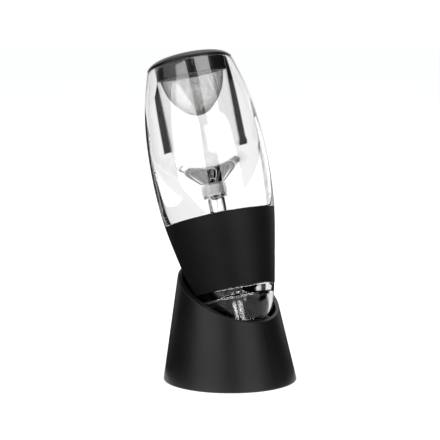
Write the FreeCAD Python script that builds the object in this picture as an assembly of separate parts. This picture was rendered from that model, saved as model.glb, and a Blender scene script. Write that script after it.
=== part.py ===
import FreeCAD, Part
import math
import os

# Wine aerator pourer leaning in its conical stand, in millimetres.
# The origin is the centre of the stand's base, +Z is up and the aerator leans towards -X.
# Heights along the aerator are measured on its own axis, up from the lower edge of the grip band.

# Stand
base_radius = 29.5
lip_reach = 7.227
cone_tilt_deg = 4.6
mouth_drop = 1.38
mouth_slope_deg = 24.4
stand_wall = 1.8
lip_wall = 1.1
lip_round = 0.35
foot_round = 0.5
cup_clearance = 1.2
rub_clearance = 0.3
well_radius = 8.5
well_floor = 1.8
well_ground_clearance = 5.797
tip_clearance = 2.2
seat_gap = 0.1

# Place and lean of the aerator
lean_deg = 17.93
datum_x = 3.28

# Outer form of the aerator
skirt_depth = 14.7
skirt_end_radius = 14.1
skirt_mid_radius = 16.45
band_low_radius = 18.2
band_mid_radius = 21.5
band_height = 32.3
band_top_radius = 24.5
belly_rise = 25.2
belly_radius = 26.0
shoulder_rise = 22.5
shoulder_radius = 24.5
neck_rise = 11.5
neck_radius = 22.3
rim_rise = 10.4
rim_radius = 19.4

# Clear bodies
wall_low = 3.0
skirt_wall = 1.8
plug_wall = 2.8
plug_height = 14.0
plate_drop = 2.0
plate_thickness = 2.2
fit_gap = 0.15

# Bowl and throat
bowl_radius = 15.6
bowl_bend_depth = 38.9
bowl_side_drop = 4.5
bowl_side_inset = 1.2
bowl_low_drop = 8.5
bowl_low_inset = 3.5
bowl_floor_drop = 12.3
bowl_floor_inset = 7.6
bowl_depth = 54.6
throat_radius = 2.75
seat_radius = 3.85
seat_depth = 6.1
socket_depth = 4.0

# Throat bush
bush_gap = 0.1
bush_chamfer = 0.6

# Grip band and its air inlets
band_wall = 1.5
band_proud = 0.25
inlet_drop = 3.3
inlet_radius = 1.5
inlet_turn_deg = 51.0
wall_hole_radius = 1.1

# Venturi tube
stem_radius = 4.4
tube_radius = 5.0
tube_length = 28.7
outlet_radius = 3.6
bore_step_height = 16.0
jet_radius = 0.6
jet_count = 4
jet_height = 18.0
flange_height = 3.0
flange_thickness = 1.6

# Seals
throat_cord = 1.0
body_cord = 1.2
body_seal_drop = 6.0
groove_slack = 0.1
seal_gap = 0.02

# Strainer
ring_radius = 19.1
ring_height = 3.9
ring_edge = 1.2
ring_dome_drop = 1.3
ring_dome_inset = 1.6
ring_hole_radius = 12.8
ring_hole_chamfer = 0.8
ring_skirt_depth = 7.1
ring_skirt_wall = 1.1
cup_wall = 0.5
cup_side_drop = 7.0
cup_side_inset = 1.8
cup_bend_drop = 13.2
cup_bend_inset = 6.0
cup_depth = 17.1
cup_pole_radius = 0.01
cup_rows = 3
cup_row_pitch = 3.0
cup_holes_per_row = 16
cup_hole_radius = 0.8

# Heights and sizes that follow
belly_height = band_height + belly_rise
shoulder_height = belly_height + shoulder_rise
neck_height = shoulder_height + neck_rise
rim_height = neck_height + rim_rise
plate_height = band_height - plate_drop
plug_low = plate_height - plug_height
inlet_height = plug_low - inlet_drop
body_seal_height = plate_height - body_seal_drop
bowl_bend_height = rim_height - bowl_bend_depth
bowl_base_height = rim_height - bowl_depth
seat_height = bowl_base_height - seat_depth
tube_top = plate_height + socket_depth
lean = math.radians(lean_deg)
well_low = -tube_length - tip_clearance
well_rise = (well_floor - well_low) * math.cos(lean) + (well_radius + stand_wall) * math.sin(lean)
datum_z = well_rise + well_ground_clearance
mouth_height = datum_z - mouth_drop
mouth_radius = band_low_radius - datum_x + lip_reach
side_taper = (base_radius - mouth_radius) / mouth_height


def point(radius, height):
    """Give a point of a half section."""
    return FreeCAD.Vector(radius, 0, height)


def line(start, end):
    """Join two points of a section by a straight edge."""
    return Part.LineSegment(point(*start), point(*end)).toShape()


def path(*points):
    """Join points of a section by straight edges."""
    return [line(a, b) for a, b in zip(points[:-1], points[1:])]


def spline(points):
    """Draw one smooth edge through points of a section."""
    curve = Part.BSplineCurve()
    curve.interpolate([point(*place) for place in points])
    return curve.toShape()


def turned(edges):
    """Revolve a closed half section about the aerator's axis."""
    face = Part.Face(Part.Wire(Part.__sortEdges__(edges)))
    return face.revolve(FreeCAD.Vector(0, 0, 0), FreeCAD.Vector(0, 0, 1), 360)


def disc(radius, low, high):
    """Make a plain round slab on the aerator's axis."""
    return Part.makeCylinder(radius, high - low, point(0, low))


def outer_stations():
    """List the heights and radii that the aerator's outer form runs through."""
    return [
        (-skirt_depth, skirt_end_radius),
        (-skirt_depth / 2, skirt_mid_radius),
        (0, band_low_radius),
        (band_height / 2, band_mid_radius),
        (band_height, band_top_radius),
        (belly_height, belly_radius),
        (shoulder_height, shoulder_radius),
        (neck_height, neck_radius),
        (rim_height, rim_radius),
    ]


def envelope(inset, low=-skirt_depth, high=rim_height):
    """Make the solid inside the outer form, drawn in by an inset and kept between two heights."""
    stations = outer_stations()
    side = spline([(radius - inset, height) for height, radius in stations])
    bottom_radius = skirt_end_radius - inset
    top_radius = rim_radius - inset
    under = -skirt_depth - belly_radius
    ends = path(
        (top_radius, rim_height),
        (0, rim_height),
        (0, under),
        (bottom_radius, under),
        (bottom_radius, -skirt_depth),
    )
    return turned([side] + ends).common(disc(2 * belly_radius, low, high))


def outer_radius(height):
    """Give the radius of the outer form at a height on the axis."""
    side = spline([(radius, station) for station, radius in outer_stations()])
    reach = line((0, height), (2 * belly_radius, height))
    return side.distToShape(reach)[1][0][0].x


def ring(mean_radius, cord, height):
    """Make a round seal ring."""
    return Part.makeTorus(mean_radius, cord / 2, point(0, height))


def side_holes(radius, height, count, turn_deg, reach):
    """Make pins that point outwards from the axis, evenly spaced round it."""
    pins = []
    for index in range(count):
        angle = math.radians(turn_deg + 360 * index / count)
        way = FreeCAD.Vector(math.cos(angle), math.sin(angle), 0)
        pins.append(Part.makeCylinder(radius, reach, point(0, height), way))
    return Part.makeCompound(pins)


def leaned(shape):
    """Put a piece of the aerator at its leaning place in the stand."""
    turn = FreeCAD.Rotation(FreeCAD.Vector(0, 1, 0), -lean_deg)
    place = FreeCAD.Placement(FreeCAD.Vector(datum_x, 0, datum_z), turn)
    moved = shape.copy()
    moved.Placement = place.multiply(moved.Placement)
    return moved


def bowl_hollow():
    """Make the wine chamber, the seat of the throat bush, the throat and the socket for the tube."""
    bend = spline([
        (bowl_radius, bowl_bend_height),
        (bowl_radius - bowl_side_inset, bowl_bend_height - bowl_side_drop),
        (bowl_radius - bowl_low_inset, bowl_bend_height - bowl_low_drop),
        (bowl_radius - bowl_floor_inset, bowl_bend_height - bowl_floor_drop),
        (seat_radius, bowl_base_height),
    ])
    socket_radius = stem_radius + fit_gap
    rest = path(
        (seat_radius, bowl_base_height),
        (seat_radius, seat_height),
        (throat_radius, seat_height),
        (throat_radius, tube_top),
        (socket_radius, tube_top),
        (socket_radius, plug_low),
        (0, plug_low),
        (0, rim_height),
        (bowl_radius, rim_height),
        (bowl_radius, bowl_bend_height),
    )
    return turned([bend] + rest)


def upper_body():
    """Make the clear upper moulding: thick body with the bowl, and the spigot that takes the plug."""
    body = envelope(0, band_height, rim_height)
    spigot = envelope(band_wall + fit_gap, plug_low + fit_gap, band_height)
    plug_room = envelope(wall_low, plug_low, plate_height + fit_gap)
    return body.fuse(spigot).cut(plug_room).cut(bowl_hollow()).removeSplitter()


def lower_body():
    """Make the clear lower moulding: plate, plug wall inside the band and open skirt."""
    plug = envelope(wall_low + fit_gap, plug_low, plate_height)
    middle = envelope(band_wall + fit_gap, 0, plug_low)
    skirt = envelope(band_proud, -skirt_depth, 0)
    inside = envelope(wall_low + plug_wall, -flange_height, plate_height - plate_thickness)
    skirt_hollow = envelope(band_proud + skirt_wall, -skirt_depth, -flange_height)
    half = body_cord / 2 + groove_slack
    groove_radius = outer_radius(body_seal_height - half) - wall_low - body_cord - groove_slack
    groove = disc(2 * belly_radius, body_seal_height - half, body_seal_height + half)
    groove = groove.cut(disc(groove_radius, body_seal_height - half, body_seal_height + half))
    tube_hole = disc(stem_radius + fit_gap, 0, plate_height)
    air_holes = side_holes(wall_hole_radius, inlet_height, 2, inlet_turn_deg, belly_radius)
    body = plug.fuse(middle).fuse(skirt)
    body = body.cut(inside).cut(skirt_hollow).cut(groove)
    return body.cut(tube_hole).cut(air_holes).removeSplitter()


def grip_band():
    """Make the soft sleeve with its two air inlets."""
    sleeve = envelope(0, 0, band_height).cut(envelope(band_wall, -skirt_depth, rim_height))
    return sleeve.cut(side_holes(inlet_radius, inlet_height, 2, inlet_turn_deg, 2 * belly_radius))


def venturi_tube():
    """Make the tube that carries the wine, with its holding flange, throat step and air jets."""
    top = tube_top - fit_gap
    flange_low = -flange_height - flange_thickness
    flange_radius = outer_radius(flange_low) - band_proud - skirt_wall - fit_gap
    section = path(
        (throat_radius, top),
        (stem_radius, top),
        (stem_radius, -flange_height),
        (flange_radius, -flange_height),
        (flange_radius, flange_low),
        (tube_radius, flange_low),
        (tube_radius, -tube_length),
        (outlet_radius, -tube_length),
        (outlet_radius, 0),
        (throat_radius, bore_step_height),
        (throat_radius, top),
    )
    jets = side_holes(jet_radius, jet_height, jet_count, inlet_turn_deg, 2 * stem_radius)
    return turned(section).cut(jets)


def throat_bush():
    """Make the bush that lines the throat's seat above its seal."""
    low = seat_height + throat_cord + 2 * seal_gap
    outside = seat_radius - bush_gap
    return turned(path(
        (throat_radius, low),
        (outside, low),
        (outside, bowl_base_height),
        (throat_radius + bush_chamfer, bowl_base_height),
        (throat_radius, bowl_base_height - bush_chamfer),
        (throat_radius, low),
    ))


def throat_seal():
    """Make the seal ring at the foot of the bush's seat."""
    mean_radius = seat_radius - throat_cord / 2 - seal_gap
    return ring(mean_radius, throat_cord, seat_height + throat_cord / 2 + seal_gap)


def body_seal():
    """Make the seal ring in the plug's groove."""
    seat = outer_radius(body_seal_height - body_cord / 2) - wall_low
    return ring(seat - body_cord / 2 - seal_gap, body_cord, body_seal_height)


def strainer_ring():
    """Make the black rim with its domed top and thin edge, and the skirt that plugs the bowl."""
    skirt_radius = bowl_radius - fit_gap
    skirt_inside = skirt_radius - ring_skirt_wall
    top = rim_height + ring_height
    seat = rim_height + fit_gap
    dome = spline([
        (ring_radius, rim_height + ring_edge),
        (ring_radius - ring_dome_inset, top - ring_dome_drop),
        (ring_hole_radius + ring_hole_chamfer, top),
    ])
    section = path(
        (ring_radius, rim_height + ring_edge),
        (ring_radius, rim_height),
        (skirt_radius, rim_height),
        (skirt_radius, rim_height - ring_skirt_depth),
        (skirt_inside, rim_height - ring_skirt_depth),
        (skirt_inside, seat),
        (ring_hole_radius, seat),
        (ring_hole_radius, top - ring_hole_chamfer),
        (ring_hole_radius + ring_hole_chamfer, top),
    )
    return turned([dome] + section)


def cup_line(inset):
    """Draw the strainer cup's side below the rim's skirt, drawn in by an inset."""
    top_radius = bowl_radius - 2 * fit_gap - ring_skirt_wall
    seam = rim_height - ring_skirt_depth
    return spline([
        (top_radius - inset, seam),
        (top_radius - cup_side_inset - inset, seam - cup_side_drop),
        (top_radius - cup_bend_inset - inset, seam - cup_bend_drop + inset / 2),
        (cup_pole_radius, seam - cup_depth + inset),
    ])


def strainer_mesh():
    """Make the hanging strainer cup with its rows of openings."""
    top_radius = bowl_radius - 2 * fit_gap - ring_skirt_wall
    seam = rim_height - ring_skirt_depth
    outside = cup_line(0)
    inside = cup_line(cup_wall)
    pole = path((cup_pole_radius, seam - cup_depth), (cup_pole_radius, seam - cup_depth + cup_wall))
    wall = path(
        (top_radius - cup_wall, seam),
        (top_radius - cup_wall, rim_height),
        (top_radius, rim_height),
        (top_radius, seam),
    )
    cup = turned([outside, inside] + pole + wall)
    half_pitch = 180 / cup_holes_per_row
    for row in range(cup_rows):
        height = seam - (row + 1) * cup_row_pitch
        cup = cup.cut(side_holes(cup_hole_radius, height, cup_holes_per_row, row * half_pitch, bowl_radius))
    return cup


def cone(inset):
    """Make the stand's slightly tilted cone, drawn in by an inset, longer than the stand both ways."""
    low = -base_radius
    high = mouth_height + base_radius
    tilt = math.radians(cone_tilt_deg)
    way = FreeCAD.Vector(-math.sin(tilt), 0, math.cos(tilt))
    low_radius = base_radius - side_taper * low - inset
    high_radius = base_radius - side_taper * high - inset
    return Part.makeCone(low_radius, high_radius, high - low, way * low, way)


def below_mouth(shape):
    """Keep what lies under the slanting plane of the mouth."""
    reach = 4 * base_radius
    block = Part.makeBox(2 * reach, 2 * reach, reach, FreeCAD.Vector(-reach, -reach, -reach))
    turn = FreeCAD.Rotation(FreeCAD.Vector(0, 1, 0), mouth_slope_deg)
    block.Placement = FreeCAD.Placement(FreeCAD.Vector(0, 0, mouth_height), turn)
    return shape.common(block)


def stand_form():
    """Make the stand's solid outer form with its mouth and foot edges rounded."""
    reach = 4 * base_radius
    above_ground = Part.makeBox(2 * reach, 2 * reach, reach, FreeCAD.Vector(-reach, -reach, 0))
    form = below_mouth(cone(0).common(above_ground))
    flat = [edge for edge in form.Edges if edge.BoundBox.ZMax < 0.01]
    slope = math.tan(math.radians(mouth_slope_deg))
    mouth = []
    for edge in form.Edges:
        if all(abs(p.z - mouth_height + slope * p.x) < 0.01 for p in edge.discretize(7)):
            mouth.append(edge)
    return form.makeFillet(lip_round, mouth).makeFillet(foot_round, flat)


def stand():
    """Make the stand: conical shell, slanting mouth and tilted cup with a seat and a well."""
    seat = -skirt_depth - seat_gap
    form = stand_form()
    room = leaned(envelope(-cup_clearance, seat, rim_height)).common(cone(lip_wall))
    room = room.fuse(leaned(envelope(-rub_clearance, seat, rim_height)))
    well = leaned(disc(well_radius, well_low, seat + 1))
    cup = leaned(envelope(-cup_clearance - stand_wall, seat - stand_wall, rim_height))
    socket = leaned(disc(well_radius + stand_wall, well_low - well_floor, seat))
    body = form.cut(cone(stand_wall)).fuse(cup.common(form)).fuse(socket)
    return body.cut(room).cut(well)


def build():
    """Give every piece by name."""
    return {
        "stand": stand(),
        "upper_body": leaned(upper_body()),
        "lower_body": leaned(lower_body()),
        "venturi_tube": leaned(venturi_tube()),
        "throat_bush": leaned(throat_bush()),
        "throat_seal": leaned(throat_seal()),
        "body_seal": leaned(body_seal()),
        "grip_band": leaned(grip_band()),
        "strainer_ring": leaned(strainer_ring()),
        "strainer_mesh": leaned(strainer_mesh()),
    }


os.makedirs("parts", exist_ok=True)
for name, shape in build().items():
    shape.exportStep("parts/" + name + ".step")
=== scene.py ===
"""A clear wine aerator pourer leaning in its black conical stand: surfaces, finishes, light and camera."""

import logging
import math
from dataclasses import dataclass, field
from enum import Enum

import bmesh
import bpy
import numpy as np
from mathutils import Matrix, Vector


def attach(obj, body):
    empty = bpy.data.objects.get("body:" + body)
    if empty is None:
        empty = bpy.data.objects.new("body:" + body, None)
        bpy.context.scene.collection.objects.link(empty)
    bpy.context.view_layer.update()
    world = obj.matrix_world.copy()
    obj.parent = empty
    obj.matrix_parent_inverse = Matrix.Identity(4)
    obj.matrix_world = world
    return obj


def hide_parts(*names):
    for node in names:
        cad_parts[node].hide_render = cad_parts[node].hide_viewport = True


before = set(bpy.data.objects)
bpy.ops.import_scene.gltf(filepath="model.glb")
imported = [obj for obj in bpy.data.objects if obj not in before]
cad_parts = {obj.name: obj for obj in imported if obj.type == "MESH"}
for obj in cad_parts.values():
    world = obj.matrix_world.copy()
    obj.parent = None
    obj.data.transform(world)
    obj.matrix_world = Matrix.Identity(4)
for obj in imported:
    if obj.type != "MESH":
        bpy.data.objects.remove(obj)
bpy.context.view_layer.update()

LOG = logging.getLogger("aerator")
MM = 0.001
TURN_STEPS = 176
SMALL_TURN_STEPS = 96
SIDE_POINTS = 400
ROUNDED_SHARE = 0.45
WELD_M = 1e-7
SLIVER_M = 1e-8
WHITE = "#ffffff"
CARD_BLACK = "#1c1c1c"
HALF_STEP = 0.5
Colour = tuple[float, float, float, float]


class Slot(Enum):
    """Material slots of the record."""

    CLEAR = "clear_acrylic"
    SEAL = "seal_rubber"
    RIM = "rim_plastic"
    MESH = "steel_mesh"


def linear(code: str) -> Colour:
    """Turn an sRGB hex colour into the linear colour that shaders take.

    Args:
        code: Six hex digits after a hash sign.

    Returns:
        Linear red, green, blue and an alpha of one.
    """
    parts = [int(code[i:i + 2], 16) / 255 for i in (1, 3, 5)]
    shades = [p / 12.92 if p <= 0.04045 else ((p + 0.055) / 1.055) ** 2.4 for p in parts]
    return (shades[0], shades[1], shades[2], 1.0)


def add_node(tree: bpy.types.NodeTree, kind: str, links: dict | None = None, **settings) -> bpy.types.Node:
    """Add one shader node with its settings and its incoming links.

    Args:
        tree: The node tree that takes the node.
        kind: The node's type name.
        links: Input name or index to the output socket that feeds it, or to a plain value.
        settings: Attributes to set on the node.

    Returns:
        The new node.
    """
    node = tree.nodes.new(kind)
    for name, value in settings.items():
        setattr(node, name, value)
    for key, source in (links or {}).items():
        if isinstance(source, bpy.types.NodeSocket):
            tree.links.new(source, node.inputs[key])
        else:
            node.inputs[key].default_value = source
    return node


def combine(tree: bpy.types.NodeTree, operation: str, first: bpy.types.NodeSocket,
            second: bpy.types.NodeSocket | float) -> bpy.types.NodeSocket:
    """Join two values by one math operation.

    Args:
        tree: The node tree that takes the node.
        operation: The operation's name.
        first: The first value.
        second: The second value, or a plain number.

    Returns:
        The result.
    """
    return add_node(tree, "ShaderNodeMath", {0: first, 1: second}, operation=operation).outputs[0]


def noise(tree: bpy.types.NodeTree, size_mm: float, detail: float, roughness: float) -> bpy.types.NodeSocket:
    """Add a noise pattern that lies fixed in the object's own coordinates.

    Args:
        tree: The node tree that takes the pattern.
        size_mm: The pattern's coarsest size in millimetres.
        detail: How many finer layers lie on it.
        roughness: How strong the finer layers are.

    Returns:
        The pattern, from nought to one.
    """
    where = add_node(tree, "ShaderNodeTexCoord")
    pattern = add_node(tree, "ShaderNodeTexNoise", {"Vector": where.outputs["Object"],
                       "Scale": 1 / (size_mm * MM), "Detail": detail, "Roughness": roughness})
    return pattern.outputs["Fac"]


def node_material(name: str, bare: bool = False) -> tuple[bpy.types.Material, bpy.types.NodeTree]:
    """Make a material that is drawn by nodes.

    Args:
        name: The material's name.
        bare: Whether the nodes that it comes with are taken out.

    Returns:
        The material and its node tree.
    """
    material = bpy.data.materials.new(name)
    material.use_nodes = True
    if bare:
        material.node_tree.nodes.clear()
    return material, material.node_tree


# Section drawing


def spline(points: list[tuple[float, float]], count: int = 40) -> np.ndarray:
    """Draw a natural cubic spline through points.

    With chord lengths h between knots, the second derivatives M solve
    h0 M0 + 2 (h0 + h1) M1 + h1 M2 = 6 (slope1 - slope0), and are zero at both ends.

    Args:
        points: Radius and height of each knot.
        count: How many points to give back, both ends included.

    Returns:
        An array of count rows with radius and height.
    """
    knots = np.array(points, float)
    steps = np.linalg.norm(np.diff(knots, axis=0), axis=1)
    at = np.r_[0.0, np.cumsum(steps)]
    slope = np.diff(knots, axis=0) / steps[:, None]
    size = len(knots)
    system = np.eye(size)
    inner = np.arange(1, size - 1)
    system[inner, inner - 1] = steps[:-1]
    system[inner, inner] = 2 * (steps[:-1] + steps[1:])
    system[inner, inner + 1] = steps[1:]
    wanted = np.zeros((size, 2))
    wanted[1:-1] = 6 * np.diff(slope, axis=0)
    bend = np.linalg.solve(system, wanted)
    u = np.linspace(0, at[-1], count)
    k = np.clip(np.searchsorted(at, u, side="right") - 1, 0, size - 2)
    h, a, b = steps[k][:, None], (at[k + 1] - u)[:, None], (u - at[k])[:, None]
    cubic = (bend[k] * a**3 + bend[k + 1] * b**3) / (6 * h)
    return cubic + (knots[k] / h - bend[k] * h / 6) * a + (knots[k + 1] / h - bend[k + 1] * h / 6) * b


def outline(*parts: tuple[float, float, float] | np.ndarray, steps: int = 5) -> np.ndarray:
    """Chain corners and curves into one closed section with its corners rounded.

    A corner with radius q is replaced by the parabola (1-s)^2 A + 2s(1-s) C + s^2 B, where A and B lie
    q before and after the corner C, or closer where a side is short.

    Args:
        parts: Corners as (radius, height, rounding), or arrays of curve points.
        steps: How many points make one rounded corner.

    Returns:
        An array of points of the closed section.
    """
    rows = [np.array([p], float) if isinstance(p, tuple) else np.c_[p, np.zeros(len(p))] for p in parts]
    chain = np.concatenate(rows)
    spots, rounding = chain[:, :2], chain[:, 2]
    before = np.roll(spots, 1, axis=0) - spots
    after = np.roll(spots, -1, axis=0) - spots
    reach_a, reach_b = np.linalg.norm(before, axis=1), np.linalg.norm(after, axis=1)
    cut = np.minimum(rounding, ROUNDED_SHARE * np.minimum(reach_a, reach_b))
    start = spots + before / reach_a[:, None] * cut[:, None]
    end = spots + after / reach_b[:, None] * cut[:, None]
    s = np.linspace(0, 1, steps)[None, :, None]
    arcs = (1 - s) ** 2 * start[:, None] + 2 * s * (1 - s) * spots[:, None] + s**2 * end[:, None]
    keep = np.ones((len(spots), steps), bool)
    keep[rounding == 0, 1:] = False
    return arcs[keep]


def divided(section: np.ndarray, longest: float) -> np.ndarray:
    """Add points to a closed section so that no side is longer than a limit.

    Args:
        section: Points of the closed section.
        longest: The longest side allowed, in the section's units.

    Returns:
        The section with its long sides divided evenly.
    """
    ends = np.roll(section, -1, axis=0)
    pieces = np.maximum(1, np.ceil(np.linalg.norm(ends - section, axis=1) / longest)).astype(int)
    index = np.repeat(np.arange(len(section)), pieces)
    share = (np.arange(len(index)) - np.repeat(np.cumsum(pieces) - pieces, pieces)) / pieces[index]
    return section[index] + (ends - section)[index] * share[:, None]


# Sizes


@dataclass(frozen=True)
class Rounding:
    """How far a rounding reaches from its corner in millimetres, from machined edges to deep moulded ones."""

    crisp: float = 0.1
    fine: float = 0.15
    slight: float = 0.2
    soft: float = 0.3
    edge: float = 0.4
    lip: float = 0.5
    foot: float = 0.6
    root: float = 0.8


@dataclass(frozen=True)
class Form:
    """Driving sizes of the object in millimetres, the same as in its solids."""

    lean: float = 17.93
    datum_x: float = 3.28
    datum_z: float = 40.08
    skirt_depth: float = 14.7
    skirt_end: float = 14.1
    skirt_mid: float = 16.45
    band_low: float = 18.2
    band_mid: float = 21.5
    band_height: float = 32.3
    band_top: float = 24.5
    belly_height: float = 57.5
    belly: float = 26.0
    shoulder_height: float = 80.0
    shoulder: float = 24.5
    neck_height: float = 91.5
    neck: float = 22.3
    rim_height: float = 101.9
    rim: float = 19.4
    wall_low: float = 3.0
    skirt_wall: float = 1.8
    plug_wall: float = 2.8
    plug_low: float = 16.3
    plate_height: float = 30.3
    plate: float = 2.2
    gap: float = 0.15
    bowl: float = 15.6
    bowl_bend: float = 63.0
    bowl_side: float = 14.4
    bowl_side_height: float = 58.5
    bowl_low: float = 12.1
    bowl_low_height: float = 54.5
    bowl_floor: float = 8.0
    bowl_floor_height: float = 50.7
    bowl_base: float = 47.3
    throat: float = 2.75
    seat: float = 3.85
    seat_height: float = 41.2
    tube_top: float = 34.3
    bush_gap: float = 0.1
    bush_chamfer: float = 0.6
    band_wall: float = 1.5
    band_proud: float = 0.25
    stem: float = 4.4
    tube: float = 5.0
    tube_length: float = 28.7
    outlet: float = 3.6
    bore_step: float = 16.0
    flange_height: float = 3.0
    flange_thickness: float = 1.6
    throat_cord: float = 1.0
    seal_play: float = 0.02
    groove_room: float = 0.1
    body_cord: float = 1.2
    body_seal_height: float = 24.3
    ring: float = 19.1
    ring_height: float = 3.9
    ring_edge: float = 1.2
    ring_dome_drop: float = 1.3
    ring_dome_inset: float = 1.6
    ring_hole: float = 12.8
    ring_skirt_depth: float = 7.1
    ring_skirt_wall: float = 1.1
    cup_side_drop: float = 7.0
    cup_side: float = 12.4
    cup_bend_drop: float = 13.2
    cup_bend: float = 8.2
    cup_depth: float = 17.1

    def side(self, inset: float = 0.0) -> np.ndarray:
        """Give the outer form's line from skirt to rim.

        Args:
            inset: How far the line is drawn in, in millimetres.

        Returns:
            Rows of radius and height, upwards.
        """
        knots = [
            (self.skirt_end, -self.skirt_depth),
            (self.skirt_mid, -self.skirt_depth / 2),
            (self.band_low, 0.0),
            (self.band_mid, self.band_height / 2),
            (self.band_top, self.band_height),
            (self.belly, self.belly_height),
            (self.shoulder, self.shoulder_height),
            (self.neck, self.neck_height),
            (self.rim, self.rim_height),
        ]
        line = spline(knots, SIDE_POINTS)
        line[:, 0] -= inset
        return line

    def radius(self, height: float) -> float:
        """Give the outer form's radius at a height.

        Args:
            height: The height in the aerator's own frame.

        Returns:
            The radius in millimetres.
        """
        line = self.side()
        return float(np.interp(height, line[:, 1], line[:, 0]))

    def stretch(self, inset: float, low: float, high: float, count: int = 40) -> np.ndarray:
        """Give the outer form's line between two heights.

        Args:
            inset: How far the line is drawn in, in millimetres.
            low: The height that it starts at.
            high: The height that it ends at.
            count: How many points to give back.

        Returns:
            Rows of radius and height, upwards.
        """
        heights = np.linspace(low, high, count)
        line = self.side(inset)
        return np.c_[np.interp(heights, line[:, 1], line[:, 0]), heights]


FORM = Form()
ROUND = Rounding()


# Surfaces


def leaning() -> tuple[np.ndarray, np.ndarray]:
    """Give how the aerator's own frame lies in the stand.

    x' = x cos a - z sin a + x0 and z' = x sin a + z cos a + z0, with a the lean.

    Returns:
        The turn, for points as rows, and the place of its origin in millimetres.
    """
    a = math.radians(FORM.lean)
    turn = np.array([[math.cos(a), 0, math.sin(a)], [0, 1, 0], [-math.sin(a), 0, math.cos(a)]])
    return turn, np.array([FORM.datum_x, 0, FORM.datum_z])


def placed(points: np.ndarray) -> np.ndarray:
    """Lean points into the stand.

    Args:
        points: Millimetres in the aerator's own frame.

    Returns:
        The points in metres, in place.
    """
    turn, origin = leaning()
    return (points @ turn + origin) * MM


def unplaced(points: np.ndarray) -> np.ndarray:
    """Take points back into the aerator's own frame, the reverse of placed().

    Args:
        points: Metres, in place.

    Returns:
        The points in millimetres, in the aerator's own frame.
    """
    turn, origin = leaning()
    return (points / MM - origin) @ turn.T


def mesh_object(name: str, vertices: np.ndarray, faces: np.ndarray) -> bpy.types.Object:
    """Make a smooth closed mesh whose faces look outwards.

    The signed volume, one sixth of the sum of a . (b x c) over the triangles, tells which way they look.

    Args:
        name: The piece's name.
        vertices: Points in metres, already in place.
        faces: Rows of four corners.

    Returns:
        The linked object, at the origin.
    """
    corners = vertices[faces]
    fan = np.concatenate([corners[:, [0, 1, 2]], corners[:, [0, 2, 3]]])
    volume = np.einsum("ij,ij->i", fan[:, 0], np.cross(fan[:, 1], fan[:, 2])).sum() / 6
    if volume < 0:
        faces = faces[:, ::-1]
    mesh = bpy.data.meshes.new(name)
    mesh.vertices.add(len(vertices))
    mesh.vertices.foreach_set("co", vertices.astype(np.float32).ravel())
    mesh.loops.add(faces.size)
    mesh.loops.foreach_set("vertex_index", faces.astype(np.int32).ravel())
    mesh.polygons.add(len(faces))
    mesh.polygons.foreach_set("loop_start", np.arange(0, faces.size, 4, dtype=np.int32))
    mesh.polygons.foreach_set("use_smooth", np.ones(len(faces), bool))
    mesh.update(calc_edges=True)
    cleaner = bmesh.new()
    cleaner.from_mesh(mesh)
    bmesh.ops.remove_doubles(cleaner, verts=cleaner.verts, dist=WELD_M)
    bmesh.ops.dissolve_degenerate(cleaner, edges=cleaner.edges, dist=SLIVER_M)
    cleaner.to_mesh(mesh)
    cleaner.free()
    mesh.validate()
    piece = bpy.data.objects.new(name, mesh)
    bpy.context.scene.collection.objects.link(piece)
    return piece


def ring_faces(rows: int, columns: int, wrap: bool = True) -> np.ndarray:
    """Give the faces of a grid whose rows close round the axis.

    Args:
        rows: Steps round the axis.
        columns: Points of the section.
        wrap: Whether the section closes on itself.

    Returns:
        Rows of four vertex numbers.
    """
    index = np.arange(rows * columns).reshape(rows, columns)
    a, b = index, np.roll(index, -1, axis=0)
    c, d = np.roll(b, -1, axis=1), np.roll(a, -1, axis=1)
    last = columns if wrap else columns - 1
    return np.stack([a, b, c, d], -1)[:, :last].reshape(-1, 4)


def turned(name: str, section: np.ndarray, steps: int = TURN_STEPS) -> bpy.types.Object:
    """Turn a closed section round the aerator's axis: x = r cos p, y = r sin p, z = t.

    Args:
        name: The piece's name.
        section: Radius and height of the closed section, in millimetres.
        steps: Steps round the axis.

    Returns:
        The piece, leaning in its place.
    """
    angle = np.linspace(0, 2 * np.pi, steps, endpoint=False)[:, None]
    radius, height = section[:, 0], section[:, 1]
    grid = np.stack([radius * np.cos(angle), radius * np.sin(angle), height + 0 * angle], -1)
    return mesh_object(name, placed(grid.reshape(-1, 3)), ring_faces(steps, len(section)))


def finish(piece: bpy.types.Object, node: str, material: bpy.types.Material) -> None:
    """Dress a piece and let it stand for a node on the one rigid body.

    Args:
        piece: The finished object.
        node: The node that it stands for.
        material: The finish that shows.
    """
    piece.data.materials.clear()
    piece.data.materials.append(material)
    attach(piece, "root")
    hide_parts(node)
    LOG.info("%s: %d faces", piece.name, len(piece.data.polygons))


def dress(name: str, material: bpy.types.Material) -> None:
    """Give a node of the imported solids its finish, with its form as it is.

    Args:
        name: The node.
        material: The finish that shows.
    """
    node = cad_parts[name]
    node.data.materials.clear()
    node.data.materials.append(material)
    LOG.info("%s: %d faces", name, len(node.data.polygons))


# Finishes


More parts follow.
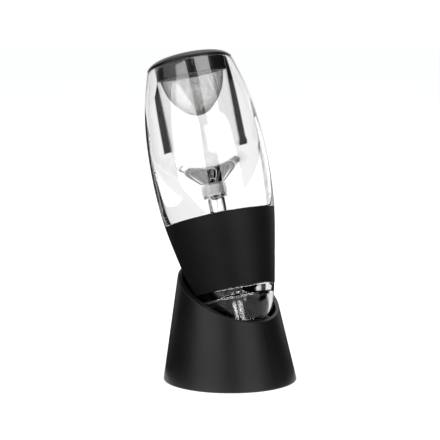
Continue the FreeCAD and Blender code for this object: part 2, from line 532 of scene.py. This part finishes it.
@dataclass(frozen=True)
class MouldedPlastic:
    """Black moulded plastic or rubber: satin, with a fine even grain that breaks up highlights."""

    name: str = "satin_black_abs"
    colour: str = "#121213"
    fade: str = "#19191a"
    roughness: float = 0.42
    spread: float = 0.08
    grain_mm: float = 0.35
    depth_mm: float = 0.006
    cloud_mm: float = 14.0
    ior: float = 1.54

    def make(self) -> bpy.types.Material:
        """Build the material.

        Returns:
            The material.
        """
        material, tree = node_material(self.name)
        shader = tree.nodes["Principled BSDF"]
        grain = noise(tree, self.grain_mm, detail=3.0, roughness=0.6)
        cloud = noise(tree, self.cloud_mm, detail=4.0, roughness=0.55)
        tone = add_node(tree, "ShaderNodeMix", {"Factor": cloud, "A": linear(self.colour),
                        "B": linear(self.fade)}, data_type="RGBA")
        gloss = add_node(tree, "ShaderNodeMapRange", {"Value": cloud, "From Min": 0.3, "From Max": 0.7,
                         "To Min": self.roughness - self.spread / 2,
                         "To Max": self.roughness + self.spread / 2})
        bump = add_node(tree, "ShaderNodeBump", {"Height": grain, "Distance": self.depth_mm * MM,
                        "Strength": 1.0})
        tree.links.new(tone.outputs["Result"], shader.inputs["Base Color"])
        tree.links.new(gloss.outputs["Result"], shader.inputs["Roughness"])
        tree.links.new(bump.outputs["Normal"], shader.inputs["Normal"])
        shader.inputs["IOR"].default_value = self.ior
        return material


@dataclass(frozen=True)
class PolishedAcrylic:
    """Clear acrylic moulded in a polished tool: glassy, with the faint waviness that thick walls set with."""

    name: str = "polished_clear_acrylic"
    tint: str = "#f8f8f8"
    ior: float = 1.491
    roughness: float = 0.0
    wave_mm: float = 16.0
    wave_depth_mm: float = 0.006
    rub_mm: float = 3.0
    haze: float = 0.02

    def make(self) -> bpy.types.Material:
        """Build the material.

        Returns:
            The material.
        """
        material, tree = node_material(self.name)
        shader = tree.nodes["Principled BSDF"]
        wave = noise(tree, self.wave_mm, detail=1.0, roughness=0.4)
        rub = noise(tree, self.rub_mm, detail=5.0, roughness=0.7)
        haze = add_node(tree, "ShaderNodeMapRange", {"Value": rub, "From Min": 0.6, "From Max": 0.9,
                        "To Min": self.roughness, "To Max": self.roughness + self.haze})
        bump = add_node(tree, "ShaderNodeBump", {"Height": wave, "Distance": self.wave_depth_mm * MM,
                        "Strength": 1.0})
        tree.links.new(haze.outputs["Result"], shader.inputs["Roughness"])
        tree.links.new(bump.outputs["Normal"], shader.inputs["Normal"])
        shader.inputs["Base Color"].default_value = linear(self.tint)
        shader.inputs["Transmission Weight"].default_value = 1.0
        shader.inputs["IOR"].default_value = self.ior
        return material


@dataclass(frozen=True)
class SteelWire:
    """Drawn stainless wire woven into a strainer cup: bright metal with slight drawing marks."""

    name: str = "woven_stainless_wire"
    colour: str = "#979693"
    roughness: float = 0.28
    smoother: float = 0.06
    rougher: float = 0.08
    draw_mm: float = 0.8

    def make(self) -> bpy.types.Material:
        """Build the material.

        Returns:
            The material.
        """
        material, tree = node_material(self.name)
        shader = tree.nodes["Principled BSDF"]
        draw = noise(tree, self.draw_mm, detail=2.0, roughness=0.5)
        gloss = add_node(tree, "ShaderNodeMapRange", {"Value": draw, "From Min": 0.3, "From Max": 0.7,
                         "To Min": self.roughness - self.smoother, "To Max": self.roughness + self.rougher})
        tree.links.new(gloss.outputs["Result"], shader.inputs["Roughness"])
        shader.inputs["Base Color"].default_value = linear(self.colour)
        shader.inputs["Metallic"].default_value = 1.0
        return material


# Sub-assemblies


@dataclass
class ClearBodies:
    """The clear mouldings: upper body with its bowl, lower body with its skirt, tube, and frosted bush.

    The sides are the longest that a section keeps undivided, in millimetres.
    """

    body_side: float = 1.6
    tube_side: float = 1.2
    bush_side: float = 0.8
    short_of_corner: float = 0.5
    short_of_foot: float = 0.6
    seat_reach: float = 0.1
    acrylic: PolishedAcrylic = field(default_factory=PolishedAcrylic)
    frosted: PolishedAcrylic = field(default_factory=lambda: PolishedAcrylic(
        name="machined_frosted_acrylic", roughness=0.5, wave_mm=0.4, wave_depth_mm=0.01, haze=0.1))

    def upper(self) -> np.ndarray:
        """Draw the upper body: thick wall, spigot inside the grip, room for the plug, throat and bowl.

        The outer line ends two points early, where the rim's rounded corner begins.

        Returns:
            The closed section.
        """
        f = FORM
        socket = f.stem + f.gap
        room_top = f.plate_height + f.gap
        bend = spline([
            (f.bowl, f.bowl_bend),
            (f.bowl_side, f.bowl_side_height),
            (f.bowl_low, f.bowl_low_height),
            (f.bowl_floor, f.bowl_floor_height),
            (f.seat, f.bowl_base),
        ], count=60)
        return outline(
            f.stretch(0, f.band_height, f.rim_height, count=120)[:-2],
            (f.rim, f.rim_height, ROUND.edge),
            (f.bowl, f.rim_height, ROUND.edge),
            bend,
            (f.seat, f.seat_height, ROUND.crisp),
            (f.throat, f.seat_height, ROUND.fine),
            (f.throat, f.tube_top, ROUND.crisp),
            (socket, f.tube_top, ROUND.crisp),
            (socket, room_top, ROUND.soft),
            f.stretch(f.wall_low, f.plug_low + f.gap, room_top, count=30)[::-1],
            f.stretch(f.band_wall + f.gap, f.plug_low + f.gap, f.band_height, count=14),
        )

    def lower(self) -> np.ndarray:
        """Draw the lower body: floor plate, plug wall with its seal groove, step and open skirt.

        Returns:
            The closed section.
        """
        f = FORM
        half = f.body_cord / 2 + f.groove_room
        plug = f.wall_low + f.gap
        groove = f.radius(f.body_seal_height - half) - f.wall_low - f.body_cord - f.groove_room
        hole = f.stem + f.gap
        plate_low = f.plate_height - f.plate
        plate_top = f.plate_height - self.short_of_corner
        skirt_in = f.band_proud + f.skirt_wall
        skirt_low = -f.skirt_depth + self.short_of_foot
        return outline(
            (hole, f.plate_height, ROUND.slight),
            (f.radius(f.plate_height) - plug, f.plate_height, ROUND.edge),
            f.stretch(plug, f.body_seal_height + half, plate_top, count=12)[::-1],
            (groove, f.body_seal_height + half, ROUND.crisp),
            (groove, f.body_seal_height - half, ROUND.crisp),
            f.stretch(plug, f.plug_low, f.body_seal_height - half, count=12)[::-1],
            f.stretch(f.band_wall + f.gap, 0.0, f.plug_low, count=24)[::-1],
            f.stretch(f.band_proud, skirt_low, 0.0, count=20)[::-1],
            (f.skirt_end - f.band_proud, -f.skirt_depth, ROUND.lip),
            (f.skirt_end - skirt_in, -f.skirt_depth, ROUND.lip),
            f.stretch(skirt_in, skirt_low, -f.flange_height, count=20),
            f.stretch(f.wall_low + f.plug_wall, -f.flange_height, plate_low - self.short_of_corner),
            (f.radius(plate_low) - f.wall_low - f.plug_wall, plate_low, ROUND.root),
            (hole, plate_low, ROUND.slight),
        )

    def tube(self) -> np.ndarray:
        """Draw the tube: stem, holding flange, outlet and stepped bore.

        Returns:
            The closed section.
        """
        f = FORM
        top = f.tube_top - f.gap
        flange_low = -f.flange_height - f.flange_thickness
        flange = f.radius(flange_low) - f.band_proud - f.skirt_wall - f.gap
        return outline(
            (f.throat, top, ROUND.soft),
            (f.stem, top, ROUND.soft),
            (f.stem, -f.flange_height, ROUND.soft),
            (flange, -f.flange_height, ROUND.soft),
            (flange, flange_low, ROUND.soft),
            (f.tube, flange_low, ROUND.foot),
            (f.tube, -f.tube_length, ROUND.lip),
            (f.outlet, -f.tube_length, ROUND.edge),
            (f.outlet, 0.0, ROUND.lip),
            (f.throat, f.bore_step, ROUND.lip),
        )

    def bush(self) -> np.ndarray:
        """Draw the bush that lines the throat's seat.

        Returns:
            The closed section.
        """
        f = FORM
        low = f.seat_height + f.throat_cord + 2 * f.seal_play
        outside = f.seat - f.bush_gap
        return outline(
            (f.throat, low, ROUND.crisp),
            (outside, low, ROUND.slight),
            (outside, f.bowl_base, ROUND.fine),
            (f.throat + f.bush_chamfer, f.bowl_base, ROUND.crisp),
            (f.throat, f.bowl_base - f.bush_chamfer, ROUND.crisp),
        )

    def frost_seat(self, piece: bpy.types.Object, material: bpy.types.Material) -> None:
        """Give the machined seat of the bush in the upper body its frosted finish.

        Args:
            piece: The upper body.
            material: The frosted finish.
        """
        f = FORM
        mesh = piece.data
        mesh.materials.append(material)
        middles = np.empty(len(mesh.polygons) * 3, np.float32)
        mesh.polygons.foreach_get("center", middles)
        spots = unplaced(middles.reshape(-1, 3).astype(float))
        radius, height = np.hypot(spots[:, 0], spots[:, 1]), spots[:, 2]
        on_wall = np.abs(radius - f.seat) < self.seat_reach
        between = (height > f.seat_height + f.throat_cord) & (height < f.bowl_base)
        mesh.polygons.foreach_set("material_index", (on_wall & between).astype(np.int32))

    def build(self) -> None:
        """Make and dress the mouldings."""
        material = self.acrylic.make()
        frosted = self.frosted.make()
        bush = turned("throat_bush_shell", divided(self.bush(), self.bush_side), SMALL_TURN_STEPS)
        finish(bush, "throat_bush", frosted)
        upper = turned("upper_body_shell", divided(self.upper(), self.body_side))
        finish(upper, "upper_body", material)
        self.frost_seat(upper, frosted)
        lower = turned("lower_body_shell", divided(self.lower(), self.body_side))
        finish(lower, "lower_body", material)
        tube = turned("venturi_tube_shell", divided(self.tube(), self.tube_side), SMALL_TURN_STEPS)
        finish(tube, "venturi_tube", material)


@dataclass
class Grip:
    """The soft black sleeve round the joint of the two bodies, with its air inlets."""

    silicone: MouldedPlastic = field(default_factory=lambda: MouldedPlastic(
        name="moulded_black_silicone", colour="#17171a", fade="#1d1d1f", roughness=0.46, grain_mm=0.22,
        depth_mm=0.003, ior=1.41))

    def build(self) -> None:
        """Dress the sleeve."""
        dress("grip_band", self.silicone.make())


@dataclass
class Seals:
    """The two ring seals, round in section."""

    section_steps: int = 24
    turn_steps: int = 128
    nitrile: MouldedPlastic = field(default_factory=lambda: MouldedPlastic(
        name="moulded_nitrile_rubber", colour="#0d0d0e", fade="#141415", roughness=0.5, grain_mm=0.3,
        depth_mm=0.002, ior=1.52))

    def ring(self, name: str, mean: float, cord: float, height: float) -> bpy.types.Object:
        """Turn a round section: r = mean + c cos q, t = height + c sin q, with c half the cord.

        Args:
            name: The piece's name.
            mean: The ring's mean radius in millimetres.
            cord: The section's diameter.
            height: The height of the ring's middle.

        Returns:
            The ring, leaning in its place.
        """
        q = np.linspace(0, 2 * np.pi, self.section_steps, endpoint=False)
        section = np.c_[mean + cord / 2 * np.cos(q), height + cord / 2 * np.sin(q)]
        return turned(name, section, self.turn_steps)

    def build(self) -> None:
        """Make and dress both rings."""
        f = FORM
        rubber = self.nitrile.make()
        throat_height = f.seat_height + f.throat_cord / 2 + f.seal_play
        throat_mean = f.seat - f.throat_cord / 2 - f.seal_play
        throat = self.ring("throat_ring", throat_mean, f.throat_cord, throat_height)
        finish(throat, "throat_seal", rubber)
        seat = f.radius(f.body_seal_height - f.body_cord / 2) - f.wall_low
        body_mean = seat - f.body_cord / 2 - f.seal_play
        body = self.ring("body_ring", body_mean, f.body_cord, f.body_seal_height)
        finish(body, "body_seal", rubber)


@dataclass
class Strainer:
    """The black rim with its short skirt, and the woven cup that hangs in it."""

    rim_side: float = 1.5
    hole_edge: float = 0.8
    hang: float = 0.3
    half_wall: float = 0.25
    bend_lift: float = 0.12
    tip: float = 2.5
    tip_lift: float = 0.45
    tail: float = 0.6
    pitch_mm: float = 0.62
    wire_mm: float = 0.13
    abs_plastic: MouldedPlastic = field(default_factory=lambda: MouldedPlastic(
        name="satin_black_abs_rim", colour="#161617", fade="#1e1e1f", roughness=0.34, grain_mm=0.3,
        depth_mm=0.003))
    steel: SteelWire = field(default_factory=SteelWire)

    def rim(self) -> np.ndarray:
        """Draw the rim: thin edge, domed top, hole edge, underside and skirt.

        Returns:
            The closed section.
        """
        f = FORM
        top = f.rim_height + f.ring_height
        dome = spline([
            (f.ring, f.rim_height + f.ring_edge),
            (f.ring - f.ring_dome_inset, top - f.ring_dome_drop),
            (f.ring_hole + self.hole_edge, top),
        ])
        skirt = f.bowl - f.gap
        inside = skirt - f.ring_skirt_wall
        seat = f.rim_height + f.gap
        return outline(
            (f.ring, f.rim_height, ROUND.soft),
            dome,
            (f.ring_hole, top - self.hole_edge, ROUND.edge),
            (f.ring_hole, seat, ROUND.slight),
            (inside, seat, ROUND.crisp),
            (inside, f.rim_height - f.ring_skirt_depth, ROUND.soft),
            (skirt, f.rim_height - f.ring_skirt_depth, ROUND.soft),
            (skirt, f.rim_height, ROUND.crisp),
        )

    def cup_line(self) -> np.ndarray:
        """Draw the middle of the cup's wall from its top edge to the bottom, evenly spaced by the pitch.

        The line ends a tail's length before the bottom, where the hoops would grow too small.

        Returns:
            Rows of radius and height.
        """
        f = FORM
        top = f.bowl - 2 * f.gap - f.ring_skirt_wall - self.half_wall
        seam = f.rim_height - f.ring_skirt_depth
        curve = spline([
            (top, seam),
            (f.cup_side - self.half_wall, seam - f.cup_side_drop),
            (f.cup_bend - self.half_wall, seam - f.cup_bend_drop + self.bend_lift),
            (self.tip, seam - f.cup_depth + self.tip_lift),
            (0.0, seam - f.cup_depth + self.half_wall),
        ], count=200)
        line = np.r_[[[top, f.rim_height - self.hang]], curve]
        run = np.r_[0, np.cumsum(np.linalg.norm(np.diff(line, axis=0), axis=1))]
        at = np.arange(0, run[-1] - self.tail, self.pitch_mm)
        return np.c_[np.interp(at, run, line[:, 0]), np.interp(at, run, line[:, 1])]

    def wires(self) -> bpy.types.Object:
        """Weave the cup: upright wires and hoops that pass over and under each other.

        At crossing (i, j) an upright wire lies out by w (-1)^(i+j) / 2 and a hoop in by as much,
        with w the wire's thickness. Each wire is a square tube about its line.

        Returns:
            The woven cup, leaning in its place.
        """
        line = self.cup_line()
        count = int(2 * round(np.pi * line[0, 0] / self.pitch_mm))
        angle = np.linspace(0, 2 * np.pi, count, endpoint=False)
        slope = np.gradient(line, axis=0)
        slope /= np.linalg.norm(slope, axis=1)[:, None]
        out = np.c_[-slope[:, 1], slope[:, 0]]
        out *= np.sign(out[0, 0])
        parity = (-1.0) ** np.add.outer(np.arange(count), np.arange(len(line)))
        radial = np.stack([np.cos(angle), np.sin(angle), 0 * angle], -1)
        along = np.stack([-np.sin(angle), np.cos(angle), 0 * angle], -1)
        up = np.array([0, 0, 1.0])
        spots = line[None, :, :1] * radial[:, None] + line[None, :, 1:] * up
        normal = out[None, :, :1] * radial[:, None] + out[None, :, 1:] * up
        tangent = slope[None, :, :1] * radial[:, None] + slope[None, :, 1:] * up
        sideways = np.broadcast_to(along[:, None], spots.shape)
        half = self.wire_mm / 2
        weave = parity[..., None] * half * normal
        square = np.array([[1, 0], [0, 1], [-1, 0], [0, -1.0]]) * half
        outwards = square[:, :1] * normal[:, :, None]
        upright = (spots + weave)[:, :, None] + outwards + square[:, 1:] * sideways[:, :, None]
        hoop = (spots - weave)[:, :, None] + outwards + square[:, 1:] * tangent[:, :, None]
        rows, columns = parity.shape
        index = np.arange(rows * columns * 4).reshape(rows, columns, 4)
        a, d = index, np.roll(index, -1, axis=2)
        b, c = np.roll(a, -1, axis=1), np.roll(d, -1, axis=1)
        quads_up = np.stack([a, b, c, d], -1)[:, :-1].reshape(-1, 4)
        b, c = np.roll(a, -1, axis=0), np.roll(d, -1, axis=0)
        quads_hoop = np.stack([a, b, c, d], -1).reshape(-1, 4) + index.size
        caps = np.concatenate([index[:, 0][:, ::-1], index[:, -1]])
        points = np.concatenate([upright.reshape(-1, 3), hoop.reshape(-1, 3)])
        return mesh_object("strainer_cup", placed(points), np.concatenate([quads_up, quads_hoop, caps]))

    def build(self) -> None:
        """Make and dress the rim and the cup."""
        rim = turned("strainer_rim", divided(self.rim(), self.rim_side))
        finish(rim, "strainer_ring", self.abs_plastic.make())
        finish(self.wires(), "strainer_mesh", self.steel.make())


@dataclass
class Stand:
    """The conical stand with its slanting mouth."""

    abs_plastic: MouldedPlastic = field(default_factory=MouldedPlastic)

    def build(self) -> None:
        """Dress the stand."""
        dress("stand", self.abs_plastic.make())


class Seen(Enum):
    """Which rays a studio card shows to."""

    WHITE = "every ray that comes through a clear wall"
    SIDE_FLAG = "reflections, and rays that pass through one wall only"
    LOW_FLAG = "reflections, and every ray that comes through a clear wall"
    APRON = "reflections that no clear wall lies before"


@dataclass(frozen=True)
class Card:
    """A card that stands round the object on part of a cylinder, with a straight or an arched top.

    Turns are degrees from the direction that the camera looks in, to its right. Lengths are metres.
    """

    name: str
    radius: float
    turn_from: float
    turn_to: float
    high: float
    low: float = 0.0
    arch: float = 0.0

    def grid(self, ahead: np.ndarray, right: np.ndarray) -> tuple[np.ndarray, np.ndarray]:
        """Work out the card: p = R (ahead cos a + right sin a) + z, its top lowered by the arch.

        The top at turn a lies at high - arch (1 - sqrt(1 - u^2)), with u from -1 to 1 across the card.

        Args:
            ahead: Level direction that the camera looks in.
            right: Direction to the camera's right.

        Returns:
            Points, and rows of four vertex numbers.
        """
        across, up = 40, 12
        u = np.linspace(-1, 1, across)
        a = np.radians((self.turn_from + self.turn_to) / 2 + u * (self.turn_to - self.turn_from) / 2)[:, None]
        top = self.high - self.arch * (1 - np.sqrt(np.clip(1 - u**2, 0, 1)))[:, None]
        z = self.low + (top - self.low) * np.linspace(0, 1, up)
        flat = self.radius * (np.cos(a) * ahead + np.sin(a) * right)
        points = np.repeat(flat[:, None], up, axis=1)
        points[..., 2] = z
        index = np.arange(across * up).reshape(across, up)
        faces = np.stack([index[:-1, :-1], index[1:, :-1], index[1:, 1:], index[:-1, 1:]], -1)
        return points.reshape(-1, 3), faces.reshape(-1, 4)


@dataclass
class Studio:
    """Pale floor, three softboxes, dark and white cards that draw the clear walls, and the camera."""

    circle_steps: int = 96
    floor_rings: tuple[float, ...] = (0.0, 0.05, 0.2, 1.0, 6.0)
    floor_colour: str = "#f2f2f2"
    floor_glow: float = 0.7
    floor_in_glass: float = 1.0
    apron_rings: tuple[float, ...] = (0.04, 0.2, 1.0, 2.3)
    apron_height: float = 0.0004
    fill: float = 0.35
    fill_colour: str = "#f4f6f8"
    softbox: float = 1.35
    softbox_mirrored: float = 7.0
    top_watts: float = 4.0
    top_size: float = 0.9
    top_height: float = 1.2
    distance: float = 0.7231
    azimuth: float = 50.998
    elevation: float = 7.3147
    focal_pixels: float = 1648.64
    frame_pixels: float = 440.0
    sensor_mm: float = 36.0
    target_side: float = -0.004195
    target_height: float = 0.07081
    boxes: tuple[Card, ...] = (
        Card("left_softbox", radius=1.3, turn_from=-170, turn_to=-112, high=1.18, low=0.08, arch=0.28),
        Card("right_softbox", radius=1.3, turn_from=119, turn_to=163, high=1.18, low=0.08, arch=0.28),
    )
    walls: tuple[Card, ...] = (
        Card("right_wall", radius=2.4, turn_from=38, turn_to=180, high=5.5),
        Card("left_wall", radius=2.4, turn_from=-180, turn_to=-36, high=5.5),
    )
    low_flags: tuple[Card, ...] = (
        Card("left_low_flag", radius=0.32, turn_from=-96, turn_to=-36, high=0.16),
        Card("right_low_flag", radius=0.32, turn_from=38, turn_to=101, high=0.16),
    )
    whites: tuple[Card, ...] = (
        Card("right_low_white", radius=0.32, turn_from=25, turn_to=38, high=0.16),
        Card("left_low_white", radius=0.32, turn_from=-36, turn_to=-25, high=0.16),
    )
    fade_from: float = 41.0
    fade_to: float = 48.0

    def back(self) -> np.ndarray:
        """Give the direction from the target to the camera.

        Returns:
            A unit vector.
        """
        a, e = math.radians(self.azimuth), math.radians(self.elevation)
        return np.array([math.sin(a) * math.cos(e), -math.cos(a) * math.cos(e), math.sin(e)])

    def right(self) -> np.ndarray:
        """Give the direction to the camera's right.

        Returns:
            A unit vector.
        """
        a = math.radians(self.azimuth)
        return np.array([math.cos(a), math.sin(a), 0.0])

    def ahead(self) -> np.ndarray:
        """Give the level direction that the camera looks in.

        Returns:
            A unit vector.
        """
        a = math.radians(self.azimuth)
        return np.array([-math.sin(a), math.cos(a), 0.0])

    def camera(self) -> None:
        """Place the camera and aim it at the object."""
        data = bpy.data.cameras.new("view")
        data.sensor_width = self.sensor_mm
        data.lens = data.sensor_width * self.focal_pixels / self.frame_pixels
        camera = bpy.data.objects.new("view", data)
        bpy.context.scene.collection.objects.link(camera)
        target = self.right() * self.target_side + np.array([0, 0, self.target_height])
        camera.location = target + self.back() * self.distance
        aim = Vector(tuple(-self.back()))
        camera.rotation_mode = "QUATERNION"
        camera.rotation_quaternion = aim.to_track_quat("-Z", "Y")
        bpy.context.scene.camera = camera

    @staticmethod
    def stage(name: str, points: np.ndarray, faces: np.ndarray,
              material: bpy.types.Material) -> bpy.types.Object:
        """Put a studio surface in place and mark it as no part of the object.

        Args:
            name: The surface's name.
            points: Its points in metres.
            faces: Rows of four vertex numbers.
            material: What it is made of.

        Returns:
            The surface.
        """
        mesh = bpy.data.meshes.new(name)
        mesh.from_pydata(points.tolist(), [], faces.tolist())
        mesh.materials.append(material)
        surface = bpy.data.objects.new(name, mesh)
        bpy.context.scene.collection.objects.link(surface)
        return surface

    def disc(self, rings: tuple[float, ...], height: float) -> tuple[np.ndarray, np.ndarray]:
        """Work out a flat round surface, or a ring where the first radius isn't nought.

        Args:
            rings: Its radii from the middle outwards, in metres.
            height: How high it lies.

        Returns:
            Points, and rows of four vertex numbers.
        """
        angle = np.linspace(0, 2 * np.pi, self.circle_steps, endpoint=False)[:, None]
        radius = np.array(rings)
        grid = np.stack([radius * np.cos(angle), radius * np.sin(angle), height + 0 * radius * angle], -1)
        return grid.reshape(-1, 3), ring_faces(self.circle_steps, len(radius), wrap=False)

    @staticmethod
    def looked_at(tree: bpy.types.NodeTree) -> bpy.types.NodeSocket:
        """Tell the rays that look from those that light.

        Args:
            tree: The node tree that takes the nodes.

        Returns:
            One for rays that look, gloss or pass through, and nought for rays that light.
        """
        ray = add_node(tree, "ShaderNodeLightPath")
        seen = combine(tree, "MAXIMUM", ray.outputs["Is Camera Ray"], ray.outputs["Is Glossy Ray"])
        return combine(tree, "MAXIMUM", seen, ray.outputs["Is Transmission Ray"])

    def floor(self) -> None:
        """Lay a pale round floor that stays white to the eye and keeps the object's shadow."""
        material, tree = node_material("matt_white_floor", bare=True)
        matt = add_node(tree, "ShaderNodeBsdfDiffuse", {"Color": linear(self.floor_colour)})
        glow = add_node(tree, "ShaderNodeEmission", {"Color": linear(WHITE), "Strength": self.floor_glow})
        both = add_node(tree, "ShaderNodeAddShader", {0: matt.outputs[0], 1: glow.outputs[0]})
        mixed = add_node(tree, "ShaderNodeMixShader", {0: self.looked_at(tree), 1: matt.outputs[0],
                         2: both.outputs[0]})
        even = add_node(tree, "ShaderNodeEmission", {"Color": linear(WHITE), "Strength": self.floor_in_glass})
        ray = add_node(tree, "ShaderNodeLightPath")
        seen = add_node(tree, "ShaderNodeMixShader", {0: ray.outputs["Is Transmission Ray"],
                        1: mixed.outputs[0], 2: even.outputs[0]})
        add_node(tree, "ShaderNodeOutputMaterial", {"Surface": seen.outputs[0]})
        self.stage("floor", *self.disc(self.floor_rings, 0.0), material)

    def world(self) -> None:
        """Surround the object with soft even light, white where the camera, gloss or glass looks."""
        world = bpy.data.worlds.new("studio")
        bpy.context.scene.world = world
        world.use_nodes = True
        tree = world.node_tree
        tree.nodes.clear()
        white = add_node(tree, "ShaderNodeBackground", {"Color": linear(WHITE), "Strength": 1.0})
        fill = add_node(tree, "ShaderNodeBackground", {"Color": linear(self.fill_colour),
                        "Strength": self.fill})
        mixed = add_node(tree, "ShaderNodeMixShader", {0: self.looked_at(tree), 1: fill.outputs[0],
                         2: white.outputs[0]})
        add_node(tree, "ShaderNodeOutputWorld", {"Surface": mixed.outputs[0]})

    def softboxes(self) -> None:
        """Stand the two arched softboxes before the object, each side of the camera.

        They are brighter to a mirror reflection after no diffuse bounce and at most one glossy bounce.
        """
        material, tree = node_material("softbox_cloth", bare=True)
        ray = add_node(tree, "ShaderNodeLightPath")
        mirrored = combine(tree, "MINIMUM", ray.outputs["Is Singular Ray"], ray.outputs["Is Glossy Ray"])
        for depth, most in (("Diffuse Depth", 0), ("Glossy Depth", 1)):
            direct = combine(tree, "LESS_THAN", ray.outputs[depth], most + HALF_STEP)
            mirrored = combine(tree, "MINIMUM", mirrored, direct)
        strength = add_node(tree, "ShaderNodeMapRange", {"Value": mirrored, "To Min": self.softbox,
                            "To Max": self.softbox_mirrored})
        glow = add_node(tree, "ShaderNodeEmission", {"Color": linear(WHITE),
                        "Strength": strength.outputs["Result"]})
        add_node(tree, "ShaderNodeOutputMaterial", {"Surface": glow.outputs[0]})
        for card in self.boxes:
            box = self.stage(card.name, *card.grid(self.ahead(), self.right()), material)
            box.visible_camera = False

    def cards(self) -> None:
        """Stand dark and white cards at the sides and lay a dark apron, each seen by some rays only."""
        surfaces = []
        groups = ((Seen.SIDE_FLAG, self.walls), (Seen.LOW_FLAG, self.low_flags), (Seen.WHITE, self.whites))
        for seen, group in groups:
            material = self.card_material(seen)
            for card in group:
                surfaces.append(self.stage(card.name, *card.grid(self.ahead(), self.right()), material))
        apron = self.disc(self.apron_rings, self.apron_height)
        surfaces.append(self.stage("apron", *apron, self.card_material(Seen.APRON)))
        for surface in surfaces:
            surface.visible_camera = surface.visible_diffuse = surface.visible_shadow = False

    def fade(self, tree: bpy.types.NodeTree) -> bpy.types.NodeSocket:
        """Grade a card from white to dark by its turn from the view, with cosine p . ahead / |p| for level p.

        Args:
            tree: The node tree that takes the nodes.

        Returns:
            The colour.
        """
        where = add_node(tree, "ShaderNodeTexCoord")
        level = add_node(tree, "ShaderNodeVectorMath", {0: where.outputs["Object"], 1: (1.0, 1.0, 0.0)},
                         operation="MULTIPLY")
        unit = add_node(tree, "ShaderNodeVectorMath", {0: level.outputs[0]}, operation="NORMALIZE")
        turn = add_node(tree, "ShaderNodeVectorMath", {0: unit.outputs[0], 1: tuple(self.ahead())},
                        operation="DOT_PRODUCT")
        share = add_node(tree, "ShaderNodeMapRange", {"Value": turn.outputs["Value"],
                         "From Min": math.cos(math.radians(self.fade_from)),
                         "From Max": math.cos(math.radians(self.fade_to))}, interpolation_type="SMOOTHSTEP")
        tone = add_node(tree, "ShaderNodeMix", {"Factor": share.outputs["Result"], "A": linear(WHITE),
                        "B": linear(CARD_BLACK)}, data_type="RGBA")
        return tone.outputs["Result"]

    def card_material(self, seen: Seen) -> bpy.types.Material:
        """Make card that shows to some rays and lets the rest through.

        Ray depths are whole numbers, so a limit lies half a step above the most surfaces passed.

        Args:
            seen: The rays that it shows to.

        Returns:
            The material.
        """
        material, tree = node_material("card_" + seen.name.lower(), bare=True)
        ray = add_node(tree, "ShaderNodeLightPath")
        if seen is Seen.WHITE:
            shown, tone = ray.outputs["Is Transmission Ray"], linear(WHITE)
        else:
            passed = {Seen.SIDE_FLAG: 2, Seen.LOW_FLAG: 99, Seen.APRON: 0}[seen]
            glossy = combine(tree, "GREATER_THAN", ray.outputs["Glossy Depth"], HALF_STEP)
            few = combine(tree, "LESS_THAN", ray.outputs["Transmission Depth"], passed + HALF_STEP)
            shown = combine(tree, "MINIMUM" if seen is Seen.APRON else "MAXIMUM", glossy, few)
            tone = linear(CARD_BLACK) if seen is Seen.APRON else self.fade(tree)
        clear = add_node(tree, "ShaderNodeBsdfTransparent")
        card = add_node(tree, "ShaderNodeEmission", {"Color": tone})
        mixed = add_node(tree, "ShaderNodeMixShader", {0: shown, 1: clear.outputs[0], 2: card.outputs[0]})
        add_node(tree, "ShaderNodeOutputMaterial", {"Surface": mixed.outputs[0]})
        return material

    def top_light(self) -> None:
        """Hang a square softbox over the object."""
        data = bpy.data.lights.new("top_softbox", "AREA")
        data.size = self.top_size
        data.energy = self.top_watts
        light = bpy.data.objects.new("top_softbox", data)
        light.location = (0, 0, self.top_height)
        bpy.context.scene.collection.objects.link(light)

    def build(self) -> None:
        """Set the stage."""
        self.floor()
        self.world()
        self.softboxes()
        self.cards()
        self.top_light()
        self.camera()
        bpy.context.scene.view_settings.view_transform = "Standard"


def main() -> None:
    """Build every sub-assembly in order."""
    logging.basicConfig(level=logging.INFO, format="%(name)s %(message)s")
    for assembly in (Stand(), ClearBodies(), Grip(), Seals(), Strainer(), Studio()):
        assembly.build()
        LOG.info("%s built", type(assembly).__name__)


if __name__ == "__main__":
    main()
